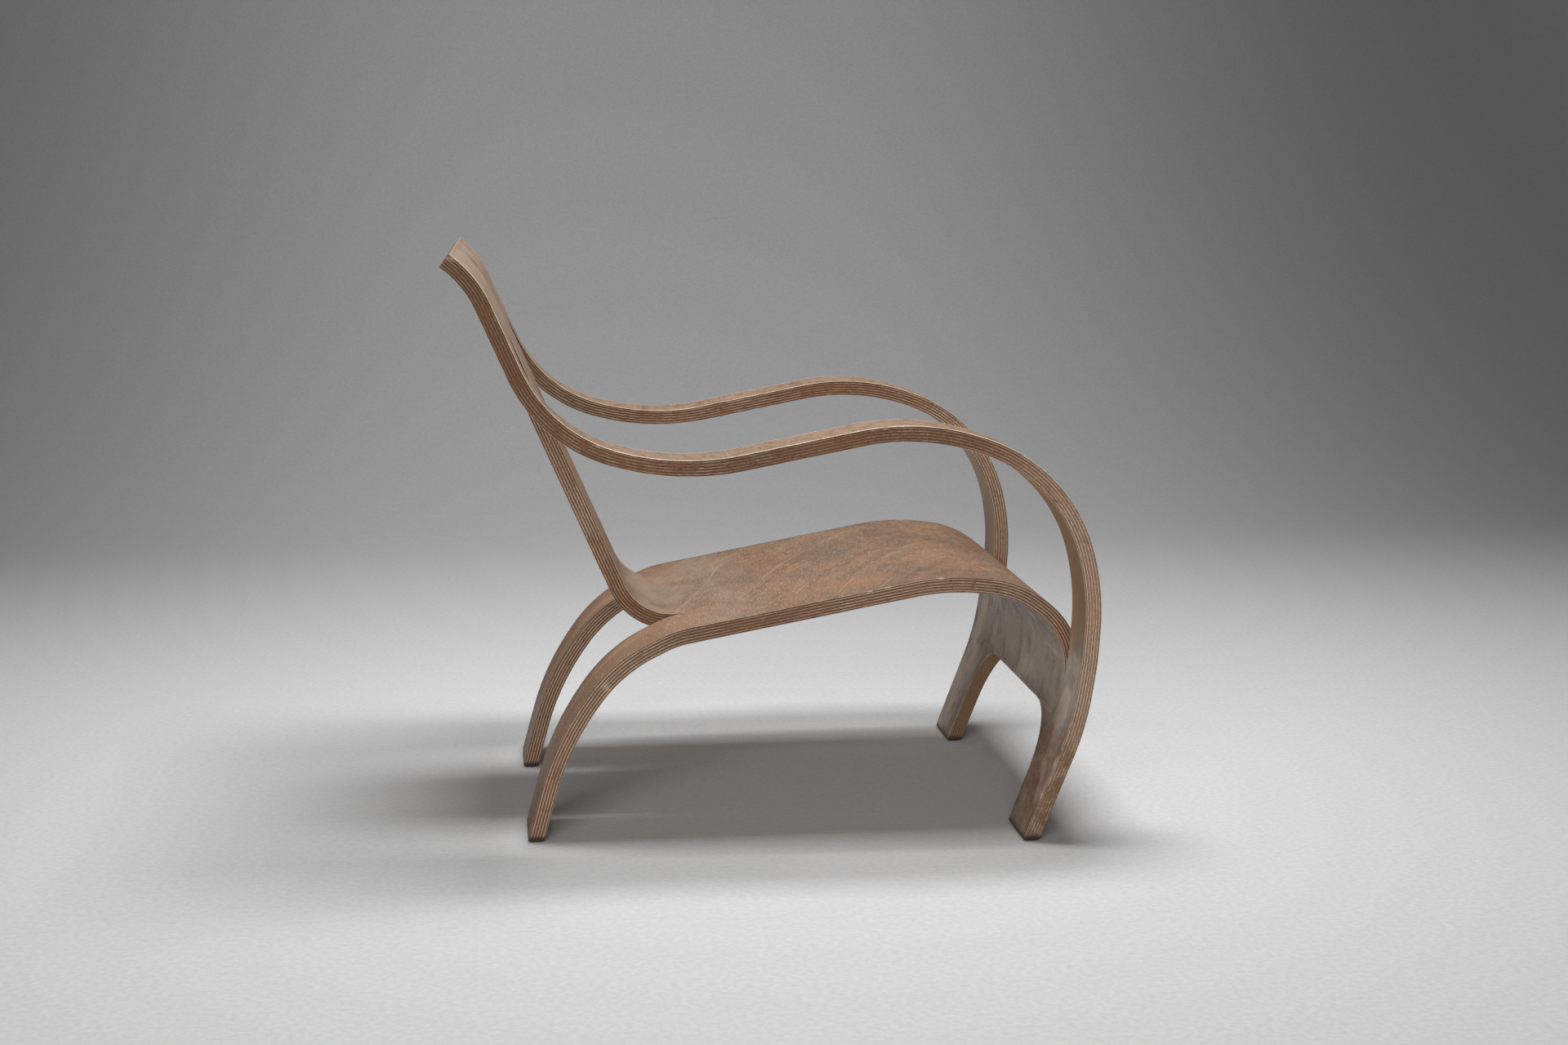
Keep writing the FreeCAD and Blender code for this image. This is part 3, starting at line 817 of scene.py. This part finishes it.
def edge_wood(name, looks, tint, deep, kind):
    """Cut edge of a ply: rough sawn fibres, stain, glue lines, and darkening at the feet near the floor."""
    material, wire = new_material(name)
    wood = WoodPlace(wire)
    s, off, share, ply = wood.s, wood.off, wood.share, wood.stored("ply")
    row = joined(wire, s, wood.y, share * 0.030 + ply * 0.37)
    streaks = row.noise(48.0, 4.0, 0.70, 0.2)
    dashes = row.noise(190.0, 3.0, 0.62)
    cloud = wood.flat.stretched(9, 9, 0.4, 3.0, 0.6)
    smear = wood.chair.noise(34.0, 5.0, 0.70, 0.4)
    speck = wood.chair.noise(800.0, 2.0, 0.6)
    pale_speck = wood.chair.noise(420.0, 2.0, 0.6)

    outer = off.past(ARM_FROM, 0.002)
    loops = s.band(0.76, 0.92) * outer
    legs = (1 - outer) * off.band(0.134, 0.1365) * s.between(0.20, 0.55, 0.05)
    front = (1 - outer) * s.between(0.76, 1.06, 0.07)
    greyed = (loops * 0.85 + legs * kind.legs + front * kind.front) * (0.30 + 0.70 * dashes.band(0.42, 0.60))
    base = layered(
        (streaks * 0.5 + dashes * 0.5).band(0.36, 0.62).blend(deep, tint),
        (cloud.band(0.40, 0.62) * 0.55, toned(looks.rust, kind.stain)),
        (greyed, toned(looks.loop, kind.grey)),
        ((1 - s.band(0.15, 0.30)) * 0.45, toned(deep, 0.9)),
    )
    if kind is LIGHT_PLY:
        fringe = 1 - share.band(0.08, 0.32) * (1 - share.band(0.68, 0.92))
        base = layered(
            base,
            (dashes.band(0.55, 0.66) * 0.75 * (1 - loops * 0.4), deep),
            (fringe * 0.80, toned(deep, 0.8)),
        )
    else:
        fringe = 1 - share.band(0.0, 0.14) * (1 - share.band(0.86, 1.0))
        base = layered(
            base,
            (dashes.band(0.58, 0.68) * streaks.band(0.48, 0.60) * 0.45, looks.worn),
            (fringe * 0.5, toned(deep, 0.5)),
        )

    arms = outer * s.band(0.004, 0.04) * (1 - s.band(0.66, 0.86))
    stained = arms * (0.12 + 0.58 * smear.band(0.44, 0.60)) + (1 - arms) * smear.band(0.54, 0.66) * 0.5
    middle = len(PLIES) // 2
    outermost = abs(ply - middle).band(4.2, 4.8) * (arms * 0.55 + 0.2)
    smeared = smear.band(0.40, 0.56)
    feet = s.band(1.15, 1.25) * (0.34 + 0.52 * smeared)
    arch = s.band(1.15, 1.18) * (1 - outer) * (0.10 + 0.34 * smeared) * (1 - s.band(1.22, 1.30) * 0.6)
    rust, ochre = looks.rust, looks.ochre
    base = layered(
        base,
        (stained, dashes.band(0.38, 0.60).blend(toned(rust, 0.45), toned(rust, 1.25))),
        (outermost, toned(rust, 0.34)),
        (feet, dashes.band(0.40, 0.62).blend(toned(rust, 0.60), toned(ochre, 0.82))),
        (arch, toned(ochre, 1.1)),
        (speck.band(0.54, 0.72) * 0.45, toned(deep, 0.45)),
        (pale_speck.band(0.60, 0.70) * 0.30, looks.worn),
        (wood.bare * speck.band(0.38, 0.56) * 0.75, looks.cream),
        # darker within a centimetre of the floor, at the feet
        (wood.low * (0.50 + dashes * 0.8), looks.foot_darkening),
    )
    relief = dashes * 0.8 + speck * 0.25 + fringe * -0.5 + streaks * 0.6
    finish_material(surface(base, 0.55 + dashes * 0.22, relief, 0.00035, coat=0.0, specular=0.28))
    return material


# What a user would change

def paint(name, description, *default):
    return FloatVectorProperty(name=name, description=description, default=default, subtype="COLOR",
                               min=0, max=1)


def size(name, description, default, least, **limits):
    return FloatProperty(name=name, description=description, default=default, min=least, unit="LENGTH",
                         precision=5, **limits)


def power(name, description, default):
    return FloatProperty(name=name, description=description, default=default, min=0, unit="POWER")


def strength(name, description, default, **limits):
    return FloatProperty(name=name, description=description, default=default, min=0, **limits)


class ChairSizes(bpy.types.PropertyGroup):
    ply: size("Ply", "Thickness of one veneer", 0.0018, 0.0005)
    arris: size("Arris", "Radius of the worn outer arrises", 0.0008, 0.0001, max=0.0015)
    relief: size("Relief", "How far the inner plies stand back at the cut edge", 0.00016, 0.0)
    foot_wear: size("Foot wear", "How far the feet are rounded off at the floor", 0.0028, 0.0)
    step: FloatProperty(name="Step", description="Length of one row of faces along the sheet, in millimetres",
                        default=3.2, min=2.0, max=20.0)


class WoodLooks(bpy.types.PropertyGroup):
    tan: paint("Tan", "Main colour of the sitter's side", 0.240, 0.144, 0.088)
    shade: paint("Shade", "Darker stain of the sitter's side", 0.142, 0.084, 0.053)
    warm: paint("Warm", "Orange patches of the sitter's side", 0.278, 0.146, 0.078)
    ash: paint("Ash", "Greyer smudges", 0.172, 0.126, 0.101)
    haze: paint("Haze", "Pale bloom on the crest and behind the seat", 0.345, 0.268, 0.212)
    # Beige, made paler, also gives the painted sheen beside the slits
    beige: paint("Beige", "Rubbed top of the arms", 0.320, 0.214, 0.140)
    grey: paint("Grey", "Main colour of the underside", 0.400, 0.310, 0.235)
    grey_shade: paint("Grey shade", "Darker stain of the underside", 0.255, 0.196, 0.150)
    bleached: paint("Bleached", "Cool grey of the apron under the seat", 0.660, 0.555, 0.465)
    ochre: paint("Ochre", "Underside of the arm loops", 0.370, 0.235, 0.125)
    worn: paint("Worn", "Pale flecks and growth lines", 0.520, 0.370, 0.245)
    cream: paint("Cream", "Bare wood of rubbed arrises and chips", 0.740, 0.590, 0.440)
    light_edge: paint("Light edge", "Cut edge of the light plies", 0.820, 0.620, 0.440)
    dark_edge: paint("Dark edge", "Cut edge of the dark plies", 0.205, 0.103, 0.058)
    rust: paint("Rust", "Reddish stain of the cut edges", 0.240, 0.108, 0.052)
    loop: paint("Loop", "Greyed cut edges of the loops and legs", 0.640, 0.455, 0.330)
    # Colour that the feet take within a centimetre of the floor
    foot_darkening: paint("Foot darkening", "Darker near the floor", 0.045, 0.034, 0.027)
    figure: strength("Figure", "Strength of the pale growth lines", 0.42, max=1, subtype="FACTOR")
    fleck: strength("Fleck", "Strength of the pale flecks", 0.34, max=1, subtype="FACTOR")


class StudioLooks(bpy.types.PropertyGroup):
    floor: paint("Floor", "Colour of the floor and sweep", 0.735, 0.735, 0.740)
    overhead: power("Overhead", "Power of the overhead lamp", 49.5)
    front: power("Front", "Power of the front lamp", 96.0)
    glow: power("Glow", "Power of the lamp on the backdrop", 17.0)
    backdrop: strength("Backdrop", "Grey seen beyond the sweep", 0.24)
    fill: strength("Fill", "Strength of the even light all round", 0.035)
    lens: FloatProperty(name="Lens", description="Focal length of the camera", default=55.78, min=10,
                        unit="CAMERA")


# The eleven plies

class Shared:
    """The blank, worked out once for all plies."""
    sheet = None

    @classmethod
    def of(cls, scene):
        if cls.sheet is None:
            cls.sheet = Sheet(scene.chair_sizes.step)
        return cls.sheet


def edge_material(looks, number):
    """Cut edge of a ply. Light and dark plies alternate, and each kind is made once."""
    dark = tuple(looks.dark_edge)
    if number % 2:
        name, tint, deep, kind = "light_ply_edge", tuple(looks.light_edge), toned(dark, 0.8), LIGHT_PLY
    else:
        name, tint, deep, kind = "dark_ply_edge", dark, toned(dark, 0.5), DARK_PLY
    return bpy.data.materials.get(name) or edge_wood(name, looks, tint, deep, kind)


def place_ply(scene, number, face):
    edge = edge_material(scene.wood_looks, number)
    name = PLIES[number]
    item = ply_object(name, Shared.of(scene), scene.chair_sizes, number, [face or edge, edge])
    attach(item, "root")
    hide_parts(name)


class CHAIR_OT_upper_face(bpy.types.Operator):
    """Make the face veneer on the sitter's side, with its tan figure and worn arrises"""
    bl_idname = "chair.upper_face"
    bl_label = "Upper Face Veneer"

    def execute(self, context):
        looks = context.scene.wood_looks
        tan, shade, warm = tuple(looks.tan), tuple(looks.shade), tuple(looks.warm)
        wood = face_wood("sitter_side_veneer", looks, tan, shade, warm, False)
        place_ply(context.scene, 0, wood)
        return {"FINISHED"}


class CHAIR_OT_under_face(bpy.types.Operator):
    """Make the face veneer on the underside, greyer and stained"""
    bl_idname = "chair.under_face"
    bl_label = "Under Face Veneer"

    def execute(self, context):
        looks = context.scene.wood_looks
        grey = tuple(looks.grey)
        wood = face_wood("underside_veneer", looks, grey, tuple(looks.grey_shade), toned(grey, 1.1), True)
        place_ply(context.scene, len(PLIES) - 1, wood)
        return {"FINISHED"}


class CHAIR_OT_inner_plies(bpy.types.Operator):
    """Make the nine inner plies, whose cut edges show as dark and light lines"""
    bl_idname = "chair.inner_plies"
    bl_label = "Inner Plies"

    def execute(self, context):
        for number in range(1, len(PLIES) - 1):
            place_ply(context.scene, number, None)
        return {"FINISHED"}


# Studio. The camera stands on the chair's right, a little behind it, and looks slightly down

CAMERA_PLACE, CAMERA_DROP, CAMERA_TURN = (-0.34258, -3.197, 0.87486), 0.15774, -0.12011


def sweep_mesh(front, back, width, radius, height):
    """Floor that curves up into a backdrop."""
    profile = [(-front, 0.0)]
    parts = 24
    for i in range(parts + 1):
        angle = math.pi / 2 * i / parts
        profile.append((back - radius + radius * math.sin(angle), radius - radius * math.cos(angle)))
    profile.append((back, height))
    vertices = [(x, y, z) for y, z in profile for x in (-width, width)]
    faces = [(2 * i, 2 * i + 1, 2 * i + 3, 2 * i + 2) for i in range(len(profile) - 1)]
    mesh = bpy.data.meshes.new("studio_sweep")
    mesh.from_pydata(vertices, [], faces)
    mesh.shade_smooth()
    return mesh


def floor_material(studio):
    """Pale mottled floor with painted shade towards the sides of the backdrop, plain grey for the camera far
    out.
    """
    material, wire = new_material("pale_floor")
    place = wire.node("ShaderNodeTexCoord", None, None, 3)
    x, y = place.axis(0), place.axis(1)
    grain = place.noise(130.0, 4.0, 0.66)
    # painted shade: the floor and backdrop are darkened towards their sides, where the lamps' light falls off
    sides = abs(x - 0.2).band(0.4, 2.4) * y.band(0.5, 2.2)
    tint = grain.band(0.30, 0.70).blend(toned(studio.floor, 1.03), toned(studio.floor, 0.93))
    tint = (sides * 0.42).blend(tint, (0, 0, 0))
    floor = surface(tint, 0.85 + grain * 0.05, grain, 0.0004, coat=0.0, specular=0.2)
    plain = wire.node("ShaderNodeEmission", None, {"Color": (studio.backdrop,) * 3 + (1,)})
    far = abs(x).band(2.8, 4.6).larger((0 - y).band(2.2, 4.6))
    seen = wire.node("ShaderNodeLightPath")
    finish_material(wire.node("ShaderNodeMixShader", None, {0: far * seen, 1: floor, 2: plain}))
    return material


def soft_lamp(name, place, aim, energy, width, depth):
    data = bpy.data.lights.new(name, "AREA")
    data.energy = energy
    data.shape = "RECTANGLE"
    data.size = width
    data.size_y = depth
    item = bpy.data.objects.new(name, data)
    item.location = place
    item.rotation_euler = (Vector(aim) - Vector(place)).to_track_quat("-Z", "Y").to_euler()
    bpy.context.collection.objects.link(item)


def studio_air(studio):
    """World that shows the backdrop's grey to the camera and sheds a little even light."""
    world = bpy.data.worlds.new("studio_air")
    world.use_nodes = True
    background = world.node_tree.nodes["Background"]
    background.inputs["Color"].default_value = (1, 1, 1, 1)
    seen = Wire(world.node_tree).node("ShaderNodeLightPath")
    even = seen * studio.backdrop + (1 - seen) * studio.fill
    world.node_tree.links.new(even.socket, background.inputs["Strength"])
    return world


def studio_camera(studio):
    data = bpy.data.cameras.new("camera")
    data.lens = studio.lens
    data.sensor_width = 36
    data.clip_end = 60
    camera = bpy.data.objects.new("camera", data)
    camera.location = CAMERA_PLACE
    camera.rotation_euler = (math.pi / 2 - CAMERA_DROP, 0, CAMERA_TURN)
    return camera


class CHAIR_OT_stage(bpy.types.Operator):
    """Make the pale sweep, the soft lamps, the world and the camera"""
    bl_idname = "chair.stage"
    bl_label = "Studio"

    def execute(self, context):
        studio = context.scene.studio_looks
        mesh = sweep_mesh(front=9.0, back=5.0, width=12.0, radius=3.0, height=9.0)
        sweep = bpy.data.objects.new("studio_sweep", mesh)
        sweep.location = (0, 0, -0.0004)
        context.collection.objects.link(sweep)
        sweep.data.materials.append(floor_material(studio))
        sweep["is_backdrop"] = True

        soft_lamp("overhead_soft", (0.1, 0.05, 2.3), (0.1, 0.05, 0.0), studio.overhead, 1.2, 0.7)
        soft_lamp("front_fill", (-1.2, -4.6, 2.0), (0.0, 0.0, 0.4), studio.front, 3.0, 1.8)
        soft_lamp("backdrop_glow", (0.0, 1.2, 3.2), (-0.1, 5.0, 1.6), studio.glow, 0.8, 0.8)
        context.scene.world = studio_air(studio)

        camera = studio_camera(studio)
        context.collection.objects.link(camera)
        context.scene.camera = camera
        context.scene.view_settings.view_transform = "Standard"
        return {"FINISHED"}


PARTS = (CHAIR_OT_upper_face, CHAIR_OT_under_face, CHAIR_OT_inner_plies)
GROUPS = {"chair_sizes": ChairSizes, "wood_looks": WoodLooks, "studio_looks": StudioLooks}


class CHAIR_PT_sidebar(bpy.types.Panel):
    bl_idname = "CHAIR_PT_sidebar"
    bl_label = "Bent Ply Chair"
    bl_space_type = "VIEW_3D"
    bl_region_type = "UI"
    bl_category = "Chair"

    def draw(self, context):
        layout = self.layout
        for title in GROUPS:
            group = getattr(context.scene, title)
            box = layout.box()
            for name in group.__annotations__:
                box.prop(group, name)
        for operator in PARTS + (CHAIR_OT_stage,):
            layout.operator(operator.bl_idname)


CLASSES = tuple(GROUPS.values()) + PARTS + (CHAIR_OT_stage, CHAIR_PT_sidebar)


def register():
    for cls in CLASSES:
        bpy.utils.register_class(cls)
    for title, group in GROUPS.items():
        setattr(bpy.types.Scene, title, PointerProperty(type=group))


def unregister():
    for title in GROUPS:
        delattr(bpy.types.Scene, title)
    for cls in reversed(CLASSES):
        bpy.utils.unregister_class(cls)


def main():
    register()
    bpy.ops.chair.stage()
    bpy.ops.chair.upper_face()
    bpy.ops.chair.under_face()
    bpy.ops.chair.inner_plies()
    corners = [[list(point) for point in box] for box in (CAD_BOX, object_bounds())]


if __name__ == "__main__":
    main()
